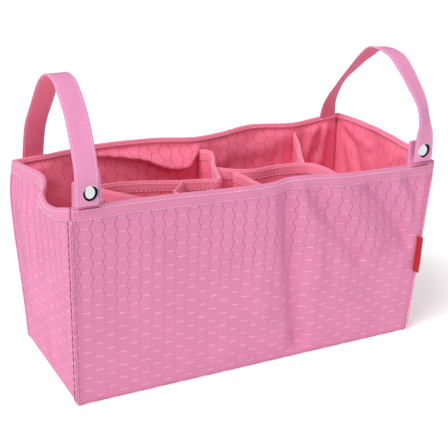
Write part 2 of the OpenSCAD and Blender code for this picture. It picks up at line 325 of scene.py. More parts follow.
def tube_faces(rings, size, first=0):
    """Faces of a closed tube through rings of size points each, numbered from first, ends included."""
    faces = []
    last = first + (rings - 1) * size
    for ring in range(first, last, size):
        for k in range(size):
            a, b = ring + k, ring + (k + 1) % size
            faces.append((a, b, b + size, a + size))
    faces.append(tuple(first + k for k in reversed(range(size))))
    faces.append(tuple(last + k for k in range(size)))
    return faces


# A stitch's rings, from end to end: (place along it, share of the radius, rise in radii)
STITCH_RINGS = [(0, 0.35, -0.07), (0.18, 0.95, 0.42), (0.5, 1, 0.7), (0.82, 0.95, 0.42), (1, 0.35, -0.07)]


def add_stitches(points, uvs, faces, slots, spots, radius=0.27, slot=1, sides=6):
    """Adds stitches to a mesh's lists: small bowed capsules, one for each (start, end, normal) in spots."""
    for start, end, normal in spots:
        run = (end - start).normalized()
        normal = (normal - run * normal.dot(run)).normalized()
        across = run.cross(normal)
        first = len(points)
        for along, fat, rise in STITCH_RINGS:
            middle = start.lerp(end, along) + normal * (rise * radius)
            for k in range(sides):
                a = math.tau * k / sides
                points.append(middle + (across * math.cos(a) + normal * math.sin(a)) * radius * fat)
                uvs.append((along * 0.01, k * 0.001))
        stitch = tube_faces(len(STITCH_RINGS), sides, first)
        faces += stitch
        slots += [slot] * len(stitch)


def stitch_row(place, length, pitch=3.1, fill=0.74):
    """Stitches along place(u), which gives a point and its outward normal for u from 0 to 1."""
    count = max(2, round(length / pitch))
    spots = []
    for k in range(count):
        u0, u1 = (k + 0.5 - fill / 2) / count, (k + 0.5 + fill / 2) / count
        (p0, n0), (p1, n1) = place(u0), place(u1)
        spots.append((p0, p1, (n0 + n1).normalized()))
    return spots


def sheet_piece(name, surface, nu, nv, size, materials, spots=(), uv_start=(0, 0), pick=None):
    """Sheet with stitches; pick(v), if given, chooses the material at v from 0 to 1 across the sheet."""
    points, uvs, faces = skin_mesh(surface, nu, nv, size, uv_start)
    slots = [0] * len(faces)
    if pick:
        for k, face in enumerate(faces):
            slots[k] = pick(sum(uvs[i][1] for i in face) / len(face) / MM / size[1])
    add_stitches(points, uvs, faces, slots, spots)
    return new_object(name, points, faces, uvs, materials, slots)


def lathe(name, profile, centre, axis, materials, segments=64):
    """Solid of revolution: profile is (radius, along the axis) points, closed on the axis."""
    turn = axis.to_track_quat("Z", "Y").to_matrix()
    points = []
    for radius, along in profile:
        for k in range(segments):
            a = math.tau * k / segments
            points.append(centre + turn @ Vector((radius * math.cos(a), radius * math.sin(a), along)))
    return new_object(name, points, tube_faces(len(profile), segments), None, materials)


def finish_piece(obj, slot, body, node):
    """Hangs a piece on its body and hides the CAD node it stands for. slot is not used."""
    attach(obj, body)
    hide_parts(node)


# ---- materials ----


class Nodes:
    """Short calls for building a material's node tree."""

    def __init__(self, name):
        self.material = bpy.data.materials.new(name)
        self.material.use_nodes = True
        self.tree = self.material.node_tree
        self.shader = self.tree.nodes["Principled BSDF"]

    def add(self, kind, **values):
        """New node, with its properties."""
        node = self.tree.nodes.new(kind)
        for key, value in values.items():
            setattr(node, key, value)
        return node

    def join(self, source, target):
        self.tree.links.new(source, target)

    def put(self, socket, value):
        """Gives an input socket a constant, or links an output socket to it."""
        if isinstance(value, bpy.types.NodeSocket):
            self.join(value, socket)
        else:
            socket.default_value = value

    def math(self, operation, *values, clamp=False):
        node = self.add("ShaderNodeMath", operation=operation, use_clamp=clamp)
        for socket, value in zip(node.inputs, values):
            self.put(socket, value)
        return node.outputs[0]

    def vector(self, operation, *values):
        node = self.add("ShaderNodeVectorMath", operation=operation)
        for socket, value in zip(node.inputs, values):
            self.put(socket, value)
        return node.outputs["Value" if operation in ("DOT_PRODUCT", "LENGTH") else "Vector"]

    def range(self, value, a, b, low=0.0, high=1.0):
        """Value, eased from low at a to high at b."""
        node = self.add("ShaderNodeMapRange", interpolation_type="SMOOTHSTEP")
        for socket, v in zip(node.inputs[:5], (value, a, b, low, high)):
            self.put(socket, v)
        return node.outputs[0]

    def mix(self, factor, a, b):
        """Colour between a and b, each an RGB tuple or a socket."""
        node = self.add("ShaderNodeMix", data_type="RGBA")
        self.put(node.inputs[0], factor)
        for socket, colour in zip(node.inputs[6:8], (a, b)):
            self.put(socket, (*colour, 1) if isinstance(colour, tuple) else colour)
        return node.outputs[2]

    def noise(self, where, scale, detail=2.0):
        node = self.add("ShaderNodeTexNoise")
        self.put(node.inputs["Vector"], where)
        node.inputs["Scale"].default_value = scale
        node.inputs["Detail"].default_value = detail
        return node.outputs["Fac"]

    def bump(self, height, distance, strength=1.0, before=None):
        node = self.add("ShaderNodeBump")
        node.inputs["Strength"].default_value = strength
        node.inputs["Distance"].default_value = distance
        self.join(height, node.inputs["Height"])
        if before is not None:
            self.join(before, node.inputs["Normal"])
        return node.outputs["Normal"]

    def set(self, **values):
        """Sets the shader's inputs by name, with _ for a space."""
        for key, value in values.items():
            self.put(self.shader.inputs[key.replace("_", " ")], value)


HEX_FLAT = 0.0113  # across a hexagon's flats, in metres
ROOT3 = math.sqrt(3)


def shade(colour, gain, lift=0.0):
    """A colour made darker or lighter."""
    return tuple(min(1, c * gain + lift) for c in colour)


def weave(n, where):
    """Fine horizontal threads, as a value from 0 to 1."""
    stretched = n.vector("MULTIPLY", where, (0.16, 1.0, 1.0))
    return n.noise(stretched, 1900, 1.0)


def honeycomb(n, along, up):
    """Two values at a place on the cloth: 1 on a honeycomb cell's edge, and 1 if that edge is level."""
    cells = n.add("ShaderNodeCombineXYZ")
    n.join(n.math("MULTIPLY_ADD", up, 1 / HEX_FLAT, 100.0), cells.inputs[0])
    n.join(n.math("MULTIPLY_ADD", along, 1 / HEX_FLAT, 100 * ROOT3), cells.inputs[1])
    half = (0.5, ROOT3 / 2, 0.0)
    cell = (1.0, ROOT3, 1.0)
    # The cells' centres lie on two shifted grids; the nearer centre's cell counts
    nearest = []
    for start in ((0, 0, 0), half):
        moved = n.vector("SUBTRACT", cells.outputs[0], start)
        nearest.append(n.vector("SUBTRACT", n.vector("WRAP", moved, cell, (0, 0, 0)), half))
    first_is_near = n.math("LESS_THAN", *(n.vector("LENGTH", offset) for offset in nearest))
    pick = n.add("ShaderNodeMix", data_type="VECTOR")
    n.join(first_is_near, pick.inputs[0])
    n.join(nearest[1], pick.inputs[4])
    n.join(nearest[0], pick.inputs[5])
    offset = n.vector("ABSOLUTE", pick.outputs[1])
    size = n.add("ShaderNodeSeparateXYZ")
    n.join(offset, size.inputs[0])
    flat = size.outputs[0]
    slant = n.vector("DOT_PRODUCT", offset, half)
    from_edge = n.math("SUBTRACT", 0.5, n.math("MAXIMUM", flat, slant))
    return n.range(from_edge, 0.012, 0.032, 1.0, 0.0), n.math("GREATER_THAN", flat, slant)


def jacquard(name, base, line, dash, pattern=1.0, fade=0.16):
    """Satin-like cloth with a honeycomb of dark upright zigzags and light dashes along the flats.

    The zigzags fade out downwards in patches, and the dashes grow there: painted sheen, for how clear the
    woven lines look changes with the light, while the weave is the same all over. pattern is how strong
    they are, and fade how uneven the height where they fade is.
    """
    n = Nodes(name)
    where = n.add("ShaderNodeUVMap", uv_map="UVMap").outputs[0]
    split = n.add("ShaderNodeSeparateXYZ")
    n.join(where, split.inputs[0])
    along, up = split.outputs[:2]
    edge, on_flat = honeycomb(n, along, up)
    # Painted sheen: the zigzags are clearer higher up and the dashes stronger lower down
    high = n.math("ADD", up, n.math("MULTIPLY", n.noise(where, 13), fade))
    clear = n.range(high, 0.05 + fade / 2, 0.13 + fade / 2, 0.12 + 0.4 * (1 - pattern), 1.0)
    zigzag = n.math("MULTIPLY", n.math("MULTIPLY", edge, n.math("SUBTRACT", 1.0, on_flat)), clear)
    dash_strength = n.math("SUBTRACT", 1.6, clear)
    dashes = n.math("MULTIPLY", n.math("MULTIPLY", edge, on_flat), dash_strength, clamp=True)
    thread = weave(n, where)
    cloudy = n.noise(where, 28, 3.0)
    tint = n.mix(n.range(cloudy, 0.3, 0.7, 0.0, 0.35), base, shade(base, 1.1, 0.012))
    tint = n.mix(n.range(thread, 0.3, 0.7, 0.0, 0.24), tint, shade(base, 0.82))
    tint = n.mix(n.math("MULTIPLY", zigzag, 0.92 * pattern), tint, line)
    tint = n.mix(n.math("MULTIPLY", dashes, 0.72 * pattern), tint, dash)
    relief = n.math("SUBTRACT", n.math("MULTIPLY", dashes, 0.6), zigzag)
    bump = n.bump(relief, 0.00012 * pattern, 0.6)
    bump = n.bump(thread, 0.00008, 0.5, bump)
    n.set(Base_Color=tint, Roughness=n.range(cloudy, 0.3, 0.7, 0.46, 0.6), Normal=bump)
    n.set(Specular_IOR_Level=0.3, Sheen_Weight=0.14, Sheen_Roughness=0.4, Sheen_Tint=(1.0, 0.7, 0.88, 1))
    return n.material


def plain_cloth(name, base, scale=1.0):
    """Plain tape or ribbon: fine ribs, cloudy colour and a soft sheen."""
    n = Nodes(name)
    where = n.add("ShaderNodeTexCoord").outputs["Object"]
    thread = n.noise(n.vector("MULTIPLY", where, (1, 1, 3.5)), 900 * scale, 2.0)
    cloudy = n.noise(where, 45, 3.0)
    tint = n.mix(n.range(cloudy, 0.3, 0.7, 0.0, 0.4), base, shade(base, 0.84))
    tint = n.mix(n.range(thread, 0.35, 0.65, 0.0, 0.3), tint, shade(base, 1.12, 0.02))
    rough = n.range(cloudy, 0.3, 0.7, 0.48, 0.64)
    n.set(Base_Color=tint, Roughness=rough, Normal=n.bump(thread, 0.00012, 0.6))
    n.set(Specular_IOR_Level=0.35, Sheen_Weight=0.25, Sheen_Roughness=0.45, Sheen_Tint=(1.0, 0.8, 0.9, 1))
    return n.material


def steel(name):
    """Polished plated steel with faint brushing and fingering."""
    n = Nodes(name)
    where = n.add("ShaderNodeTexCoord").outputs["Object"]
    smear = n.noise(where, 320, 3.0)
    n.set(Base_Color=n.mix(smear, (0.82, 0.83, 0.85), (0.74, 0.75, 0.77)), Metallic=1.0)
    n.set(Roughness=n.range(smear, 0.3, 0.7, 0.05, 0.12), Normal=n.bump(smear, 0.00002, 0.2))
    return n.material


def board(name, base):
    """Stiff sheet or felt that the cloths hide."""
    n = Nodes(name)
    where = n.add("ShaderNodeTexCoord").outputs["Object"]
    grain = n.noise(where, 700, 4.0)
    n.set(Base_Color=n.mix(grain, base, shade(base, 0.85)), Roughness=0.8, Normal=n.bump(grain, 0.0002, 0.5))
    return n.material


# A jacquard's colours are its base, its zigzags and its dashes
OUTER = jacquard("outer_jacquard", (0.69, 0.23, 0.40), (0.5, 0.07, 0.14), (0.95, 0.6, 0.76))
# The lining is the same jacquard as the outside; its redder colour is painted red shade of the bag's inside
LINING = jacquard(
    "lining_jacquard_red_shade", (0.92, 0.20, 0.325), (0.6, 0.04, 0.08), (0.66, 0.06, 0.11), pattern=0.9, fade=0.5
)
# Redder copy of the strap cloth for the strap's inner face: painted shade and red bounce light; the strap is
# one cloth
STRAP_INSIDE_SHADED = jacquard(
    "strap_inside_shaded_jacquard", (0.84, 0.19, 0.31), (0.6, 0.08, 0.14), (0.86, 0.36, 0.48), pattern=0.3
)
STRAP = jacquard(
    "strap_jacquard", (0.72, 0.27, 0.47), (0.62, 0.14, 0.26), (0.86, 0.42, 0.58), pattern=0.3
)
HEM = plain_cloth("hem_tape", (0.69, 0.225, 0.385))
# Redder copy of the hem tape for its inner half and the dividers' tapes: painted red shade inside the bag
INNER_HEM_SHADED = plain_cloth("inner_hem_tape_shaded", (0.93, 0.235, 0.37))
# Dark red cords: painted shadow beside the front-left ridge, and a dark red line of stitches under each tab
DARK_RED_LINE = plain_cloth("dark_red_line", (0.34, 0.015, 0.04), 2.0)
THREAD = plain_cloth("thread", (0.95, 0.62, 0.76), 2.0)
LABEL = plain_cloth("label_ribbon", (0.46, 0.008, 0.012), 1.4)
FELT = board("interlining_felt", (0.82, 0.80, 0.77))
BOARD = board("base_board", (0.8, 0.8, 0.78))
STEEL = steel("snap_steel")

# ---- walls, linings and base ----

# A wall's layers: name of the node and of the piece, depths of the faces, lowest and highest z,
# how far the mesh keeps clear of its neighbours, material and slot
LAYERS = [
    ("panel", "panel_cloth", 0.0, CLOTH, 0.0, WALL_H, 0.0, OUTER, "outer_fabric"),
    ("interlining", "felt", CLOTH, SKIN - CLOTH, CLOTH, WALL_H - HEM_H, 0.36, FELT, "interlining_felt"),
    ("lining", "lining_cloth", SKIN - CLOTH, SKIN, FLOOR_Z - CLOTH, WALL_H, 0.02, LINING, "lining_fabric"),
]
# Where each wall's cloth starts on the honeycomb, in millimetres, so that no two walls match
PATTERN_START = {"front": 0, "back": 500, "left_end": 800, "right_end": 1100}


def make_wall_layer(wall, layer):
    """One wall's cloth, felt or lining."""
    kind, label, outer, inner, low, high, nudge, material, slot = layer
    length = wall_length(wall)
    inset = (outer + 0.02) / length if kind != "panel" else 0.0

    def surface(u, v, w):
        s = inset + (1 - 2 * inset) * u
        return wall_point(wall, s, low + (high - low) * v, (inner - nudge) if w else (outer + nudge))

    nu, nv = round(length / GRID), round((high - low) / GRID)
    size, start = (length, high - low), (PATTERN_START[wall], low)
    piece = sheet_piece(f"{wall}_{label}", surface, nu, nv, size, [material], uv_start=start)
    finish_piece(piece, slot, "bag", f"{wall}_{kind}")


def make_base():
    """The cloth under the base board and the lining over it."""
    for name, node, z0, inset, material, slot in (
        ("base_cloth", "base_panel", 0.0, CLOTH, OUTER, "outer_fabric"),
        ("base_lining_cloth", "base_lining", FLOOR_Z - CLOTH, SKIN, LINING, "lining_fabric"),
    ):
        half_l, half_d = BASE_L - inset - 0.3, BASE_D - inset - 0.3

        def surface(u, v, w):
            x, y = (2 * u - 1) * half_l, (2 * v - 1) * half_d
            lift = abs(rumple(x, y, 26, 0.5, 4)) if z0 > 0 else 0
            return Vector((x, y, z0 + CLOTH * w + lift))

        piece = sheet_piece(name, surface, 60, 26, (2 * half_l, 2 * half_d), [material])
        finish_piece(piece, slot, "bag", node)


# ---- hem tapes ----


def tape_piece(name, surface, top, skin, length, reach, inside, stitch_rows, node, cloths):
    """Tape folded over the top edge of a sheet that stands for node without its _hem ending.

    surface(s, z, depth) gives the sheet, top is its edge's height and skin its thickness. The tape comes
    down by reach on the outside and by inside on the inside. Each of stitch_rows is a side and how far
    down it runs, and cloths are the tape's outer and inner materials.
    """
    steps = [("out", -reach * (1 - k / 6)) for k in range(7)]
    steps += [("arc", k / 6) for k in range(1, 6)]
    steps += [("in", -inside * k / 6) for k in range(7)]
    last = len(steps) - 1

    def puff(side, z):
        """How far the tape stands off the sheet between its stitched edges, at z below the top."""
        height = reach if side == "out" else inside
        pressed = 0.3 * (1 - smooth((height + z) / 1.6))
        return 0.28 * math.sin(math.pi * min(max(-z / height, 0.0), 1.0)) ** 0.7 - pressed

    def point(u, v, w):
        side, value = steps[round(v * last)]
        off = 0.03 if w else TAPE
        if side == "arc":
            a = math.pi * value
            depth = skin / 2 - (skin / 2 + off) * math.cos(a)
            return surface(u, top + (skin / 2 + off) * math.sin(a) * 0.7, depth)
        if not w:
            off += puff(side, value)
        return surface(u, top + value, -off if side == "out" else skin + off)

    def row(side, drop):
        def place(u):
            off = TAPE + 0.12 + puff(side, -drop)
            deep, deeper = (-off, 1.0 - off) if side == "out" else (skin + off, skin + off - 1.0)
            p = surface(u, top - drop, deep)
            return p, (p - surface(u, top - drop, deeper)).normalized()

        return stitch_row(place, length)

    spots = [spot for side, drop in stitch_rows for spot in row(side, drop)]
    size = (length, reach + inside + skin + 1)
    # The tape's inner half takes cloths[1]; where that is the redder inner tape, its colour is painted
    # shade.
    materials = [cloths[0], THREAD, cloths[1]]
    piece = sheet_piece(name, point, round(length / GRID), last, size, materials, spots,
                        pick=lambda v: 0 if v < 0.55 else 2)
    finish_piece(piece, "hem_tape", "bag", node)


def make_wall_hem(wall):
    """The tape over one wall's mouth."""
    length = wall_length(wall)
    inset = 0.4 / length

    def surface(u, z, depth):
        s = inset + (1 - 2 * inset) * u
        within = min(max(depth, 0.0), SKIN)
        p = wall_point(wall, s, min(z, WALL_H), within)
        p += WALLS[wall]["out"] * (within - depth)
        p.z += max(0.0, z - WALL_H)
        return p

    rows = [("out", 1.9), ("out", 9.2), ("in", 1.9)]
    tape_piece(f"{wall}_hem_tape", surface, WALL_H, SKIN, length, HEM_H, HEM_INSIDE, rows, f"{wall}_hem",
               (HEM, INNER_HEM_SHADED))


# ---- corner seams ----


# A ridge's outline: (share of its reach, share of its half thickness)
RIDGE = [(-0.5, 1.0), (0.35, 1.15), (0.72, 1.0), (0.93, 0.9), (1.0, 0.0), (0.93, -0.9), (0.72, -1.0),
         (0.35, -1.15), (-0.5, -1.0)]


def make_corner_seam(corner):
    """Edge-stitched ridge where two walls meet, from the base to the hem; at front left, a painted shadow
    cord.
    """
    wall, other = [w for w, data in WALLS.items() if corner in data["corners"]]
    end = float(WALLS[wall]["corners"].index(corner))
    out = (WALLS[wall]["out"] + WALLS[other]["out"]).normalized()
    across = Vector((-out.y, out.x, 0))
    front_left = corner == "front_left"
    reach, thick = (3.1, 0.75) if front_left else (1.3, 0.6)
    low, high = 1.6, WALL_H - HEM_H + 1.2

    def middle(v):
        z = low + (high - low) * v
        sway = 0.35 * noise.noise(Vector((z / 17, len(corner), 0)))
        grow = 1 + 0.12 * noise.noise(Vector((z / 9, 3, len(corner))))
        return wall_point(wall, end, z, 0.0) + across * sway, grow

    count = 70
    points, uvs = [], []
    for j in range(count + 1):
        p, grow = middle(j / count)
        taper = smooth(min(j, count - j) / 3 + 0.3)
        for a, b in RIDGE:
            points.append(p + out * (a * reach * grow * taper) + across * (b * thick))
            uvs.append((a * 0.003, (low + (high - low) * j / count) * MM))
    faces = tube_faces(count + 1, len(RIDGE))
    slots = [0] * len(faces)
    for side in (-1, 1):
        def place(u):
            off = across * (side * (thick * 1.1 + 0.12))
            return middle(u)[0] + out * reach * 0.42 + off, across * side

        add_stitches(points, uvs, faces, slots, stitch_row(place, high - low))

    # The dark red cord along this line is painted shadow beside the front-left ridge.
    def painted_shadow_line(u):
        return middle(u)[0] + Vector((-0.5, 3.4, 0)), Vector((-1, 0, 0))

    if front_left:  # dark red cord beside the ridge: painted shadow along the corner
        add_stitches(points, uvs, faces, slots, stitch_row(painted_shadow_line, high - low, 6.0, 1.04), 0.78, 2)
    piece = new_object(f"{corner}_ridge", points, faces, uvs, [OUTER, THREAD, DARK_RED_LINE], slots)
    finish_piece(piece, "hem_tape", "bag", f"{corner}_seam")


# ---- dividers ----

# For each divider: its top edge as (place from 0 to 1, x, y, rise), its foot as (place, x, y), what its
# two ends meet, and its length
DIVIDERS = {
    "pocket_strip": {
        "top": [(0.0, -74, -70, -6), (0.13, -79, -30, -1), (0.26, -107, 11, 0), (0.3, -101, 16, 1),
                (0.4, -72, 14, 0.5), (0.5, -44, 5, 0), (0.58, -18, -2, 0), (0.615, -7, -6, 0),
                (0.63, -4, 1, 1), (0.645, 0, 14, 2.5), (0.67, 6, 12, 2), (0.7, 16, 9, 1),
                (0.75, 34, 5, 0.5), (0.82, 60, 6, 0.5), (0.86, 77, 4.5, 0.5), (0.9, 88, -3, 0),
                (0.95, 94, -28, -1), (1.0, 98, -70, -7)],
        "low": [(0.0, -74, -62), (0.13, -78, -30), (0.29, -94, 6), (0.58, -16, -4), (0.66, 4, 2),
                (0.84, 70, 3), (0.92, 85, -22), (1.0, 94, -62)],
        "ends": ("front", "front"), "length": 318,
    },
    "pocket_divider_left": {
        "top": [(0.0, -38, 0.5, 0), (0.3, -51, -13, -0.5), (0.45, -54, -20, 0), (0.65, -50, -34, 0),
                (1.0, -40, -70, -4)],
        "low": [(0.0, -38, -2), (0.5, -47, -28), (1.0, -41, -62)],
        "ends": ("pocket_strip", "front"), "length": 78,
    },
    "pocket_divider_right": {
        "top": [(0.0, 12.5, 7, 0), (0.4, 18, -22, -0.5), (0.7, 19, -44, -1), (1.0, 17, -70, -4)],
        "low": [(0.0, 11, 2), (1.0, 15, -62)],
        "ends": ("pocket_strip", "front"), "length": 78,
    },
    "rear_divider_left": {
        "top": [(0.0, -7, -5, 0.5), (0.2, -3, 8, 1.5), (0.45, 5, 30, 3), (0.62, 11, 43, 4),
                (0.75, 13, 52, 5), (0.88, 10, 60, 4.5), (1.0, 9, 70, 3.5)],
        "low": [(0.0, -10, -4), (0.7, 10, 46), (1.0, 10, 62)],
        "ends": ("pocket_strip", "back"), "length": 80,
    },
    "rear_divider_right": {
        "top": [(0.0, 80, 3, 0.5), (0.3, 88, 20, 0.5), (0.6, 97, 38, 2), (0.8, 104, 54, 4.5),
                (1.0, 109, 70, 8)],
        "low": [(0.0, 76, 0), (0.5, 90, 33), (1.0, 106, 62)],
        "ends": ("pocket_strip", "back"), "length": 80,
    },
}


def wall_at(wall, along, z):
    """Point just inside the wall's lining, for a divider's end."""
    a, b = corner_pair(wall, 1)
    return wall_point(wall, (along - a.x) / (b.x - a.x), z, SKIN - CLOTH)


def even_steps(rows, count=240):
    """Running length, from 0 to 1, of the curve through rows of (place, x, y, ...) at even places."""
    points = [Vector(through(rows, k / count)[:2]) for k in range(count + 1)]
    lengths = [0.0]
    for a, b in zip(points, points[1:]):
        lengths.append(lengths[-1] + (b - a).length)
    return [length / lengths[-1] for length in lengths]


STEPS = {name: even_steps(data["top"]) for name, data in DIVIDERS.items()}
END_PULL = 0.14  # share of a divider's length that its sewn end can pull


def divider_point(name, along, z, depth):
    """Point on a divider: along it from 0 to 1 by length, at height z, and depth through its thickness."""
    data = DIVIDERS[name]
    steps = STEPS[name]
    k = max(1, min(bisect_right(steps, along), len(steps) - 1))
    part = min(max((along - steps[k - 1]) / (steps[k] - steps[k - 1]), 0), 1)
    u = (k - 1 + part) / (len(steps) - 1)
    t = (z - FLOOR_Z) / (DIVIDER_TOP - FLOOR_Z)

    def middle(u):
        x1, y1, rise = through(data["top"], u)
        x0, y0 = through(data["low"], u)
        blend = smooth(t) * 0.4 + t * 0.6
        return Vector((x0 + (x1 - x0) * blend, y0 + (y1 - y0) * blend, z + rise * t * t))

    p = middle(u)
    slack = rumple(u * data["length"], z, 24, 2.2, len(name)) * smooth(t * 3) * smooth((1.12 - t) * 5)
    step = 0.012
    run = middle(min(u + step, 1)) - middle(max(u - step, 0))
    side = Vector((-run.y, run.x, 0)).normalized()
    p += side * (slack * smooth(min(u, 1 - u) * 9) + DIVIDER_SKIN / 2 - depth)
    for end, from_end in ((0, u), (1, 1 - u)):
        wall = data["ends"][end]
        if wall in WALLS and from_end < END_PULL:  # the end is drawn to the wall that it is sewn to
            top_x, low_x = through(data["top"], end)[0], through(data["low"], end)[0]
            gap = wall_at(wall, low_x + (top_x - low_x) * t, min(p.z, WALL_H - 1)) - middle(end)
            p += Vector((gap.x, gap.y, 0)) * (1 - smooth(from_end / END_PULL))
    return p


def make_divider(name):
    """One divider's cloth and the tape over its top edge."""
    length = DIVIDERS[name]["length"]
    high = DIVIDER_TOP - TAPE
    tall = high - FLOOR_Z
    fine = 1.3 if name == "pocket_strip" else 2.0

    def surface(u, v, w):
        return divider_point(name, u, FLOOR_Z + tall * v, DIVIDER_SKIN if w else 0.0)

    nu, nv = round(length / fine), round(tall / 3)
    sheet = sheet_piece(f"{name}_cloth", surface, nu, nv, (length, tall), [LINING])
    finish_piece(sheet, "lining_fabric", "bag", name)

    def edge(u, z, depth):
        p = divider_point(name, u, min(z, high), depth)
        p.z += max(0.0, z - high)
        return p

    rows = [("out", 1.8), ("out", 8.2), ("in", 1.8), ("in", 8.2)]
    tape_piece(f"{name}_hem_tape", edge, high, DIVIDER_SKIN, length, DIVIDER_HEM, DIVIDER_HEM, rows,
               f"{name}_hem", (INNER_HEM_SHADED, INNER_HEM_SHADED))


# ---- straps, tabs and label ----


def ribbon_outline(width, thick):
    """Points round a flat strap's section, with its sewn edges pressed in and its sides rounded."""
    face = []
    for k in range(11):
        x = -1 + 2 * k / 10
        dent = 0.12 if 0.7 < abs(x) < 0.9 else 0.0
        face.append((x * (width / 2 - thick / 2), thick / 2 * (1 - dent)))
    rim = [(math.cos(a) * thick / 2, math.sin(a) * thick / 2) for a in (1.05, 0.52, 0, -0.52, -1.05)]
    right = [(width / 2 - thick / 2 + c, s) for c, s in rim]
    return face + right + [(x, -y) for x, y in reversed(face)] + [(-x, -y) for x, y in right]


def ribbon(name, path, width, thick, materials, from_edge=1.7, wavy=0.45, seam=()):
    """Flat strap along path, a function of u that gives its middle and its width's and face's directions.

    The materials are the cloth, the thread, the inner face's cloth and the dark red of the stitches in seam.
    from_edge is where the stitches run, and wavy how far the strap waves between its ends.
    """
    outline = ribbon_outline(width, thick)
    size = len(outline)
    inner_face = range(16, 27)  # of the outline's points
    length = sum((path((k + 1) / 60)[0] - path(k / 60)[0]).length for k in range(60))
    count = max(10, round(length / 1.6))
    points, uvs = [], []
    for j in range(count + 1):
        u = j / count
        p, across, normal = path(u)
        free = wavy * smooth(u * 6) * smooth((1 - u) * 4)
        for a, b in outline:
            wave = free * noise.noise(Vector((a / 8, length * u / 15, width)))
            points.append(p + across * a + normal * (b + wave))
            uvs.append((a * MM + 0.3, length * u * MM))
    faces = tube_faces(count + 1, size)
    slots = [2 if k in inner_face else 0 for k in range(size)] * count + [0, 0]
    for side in (-1, 1):
        for face in (-1, 1):
            def place(u):
                p, across, normal = path(u)
                off = across * (side * (width / 2 - from_edge)) + normal * (face * (thick / 2 + 0.02))
                return p + off, normal * face

            add_stitches(points, uvs, faces, slots, stitch_row(place, length), 0.2)
    add_stitches(points, uvs, faces, slots, seam, 0.34, 3)
    return new_object(name, points, faces, uvs, materials, slots), length


def strap_path(rows):
    """Path through rows of (u, x, y, z, lean of the width towards +Z, turn about Z), angles in degrees."""

    def middle(u):
        x, y, z, lean, turn = through(rows, u)
        return Vector((x, y, z)), math.radians(lean), math.radians(turn)

    def path(u):
        p, lean, turn = middle(u)
        run = (middle(min(u + 0.01, 1))[0] - middle(max(u - 0.01, 0))[0]).normalized()
        across = Vector((math.cos(turn), math.sin(turn), 0)) * math.cos(lean)
        across.z = math.sin(lean)
        across = (across - run * across.dot(run)).normalized()
        return p, across, run.cross(across)

    return path


def make_handle(side):
    """One strap handle in two pieces that meet at the top, its tab and its snap cap."""
    low, high = node_box(f"{side}_snap_cap")
    snap = Vector(((low.x + high.x) / 2, low.y, (low.z + high.z) / 2))
    end_low, end_high = node_box(f"{side}_strap_end")
    top = node_box(f"{side}_strap")[1].z
    face_y = (end_low.y + end_high.y) / 2
    crease_z = end_high.z
    root_y = 71
    # Rows for strap_path, with x counted from the snap
    if side == "left":
        back = [(0, 3.5, root_y, WALL_H - 9, 0, 0), (0.1, 3.5, 70.5, WALL_H + 2, 0, 0),
                (0.25, 4, 63, WALL_H + 26, 1, -2), (0.5, 4, 43, WALL_H + 50, 1, -3),
                (0.75, 3, 19, WALL_H + 73, 1, -2), (0.9, 2.5, 3, top - 4.4, 0, 0), (1, 2, -9, top - 2, 0, 0)]
        front = [(0, 2, -9, top - 2, 0, 0), (0.14, 2, -23, top - 5, 0, 0),
                 (0.34, 1.2, -46, top - 22, 1, 0), (0.52, -0.8, -65, WALL_H + 44, 1, 3),
                 (0.66, -2.2, -75.2, crease_z - 3, 0, 3), (0.82, -2.6, -76.2, snap.z + 3, 0, 0),
                 (1, -2.6, face_y, snap.z - 9.3, 0, 0)]
    else:
        back = [(0, 0, root_y, WALL_H - 9, 0, 0), (0.1, 0, 71, WALL_H + 3, 0, 4),
                (0.2, 1, 69, WALL_H + 18, 0, 20), (0.36, 3, 58, WALL_H + 37, 0, 34),
                (0.55, 5, 42, WALL_H + 54, -2, 26), (0.75, 6, 24, WALL_H + 70, -4, 10),
                (0.9, 6, 9, top - 2.5, -5, 0), (1, 6, -6, top - 1, -5, 0)]
        front = [(0, 6, -6, top - 1, -5, 0), (0.15, 5, -24, top - 4.5, -4, 4),
                 (0.34, 3.5, -50, top - 22, -2, 16), (0.5, 1.5, -67, WALL_H + 46, 0, 30),
                 (0.63, 0.5, -74.5, WALL_H + 32, 0, 22), (0.74, 0, -76.1, crease_z - 10, 0, 6),
                 (0.85, 0, -76.3, snap.z + 1.5, 0, 0), (1, 0, face_y, snap.z - 9.0, 0, 0)]
    handle, handle_end = f"{side}_handle", f"{side}_handle_end"
    root_bend = (root_y, WALL_H, WALL_H + 28)
    end_bend = (face_y, crease_z + 5, crease_z - 5)
    for part, rows, bodies, bend, nodes in (
        ("back", back, ("bag", handle), root_bend, (f"{side}_strap_root", f"{side}_strap")),
        ("front", front, (handle, handle_end), end_bend, (f"{side}_strap_end",)),
    ):
        path = strap_path([(row[0], snap.x + row[1], *row[2:]) for row in rows])
        # The strap's inner face takes the redder copy of its cloth: painted shade.
        materials = [STRAP, THREAD, STRAP_INSIDE_SHADED]
        piece, length = ribbon(f"{side}_strap_{part}", path, STRAP_W, 1.5, materials)
        start, end = ((snap.x * MM, bend[0] * MM, z * MM) for z in bend[1:])
        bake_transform(piece)
        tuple(start)
        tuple(end)
        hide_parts(*nodes)
    make_tab(side)
    make_cap(side, snap)


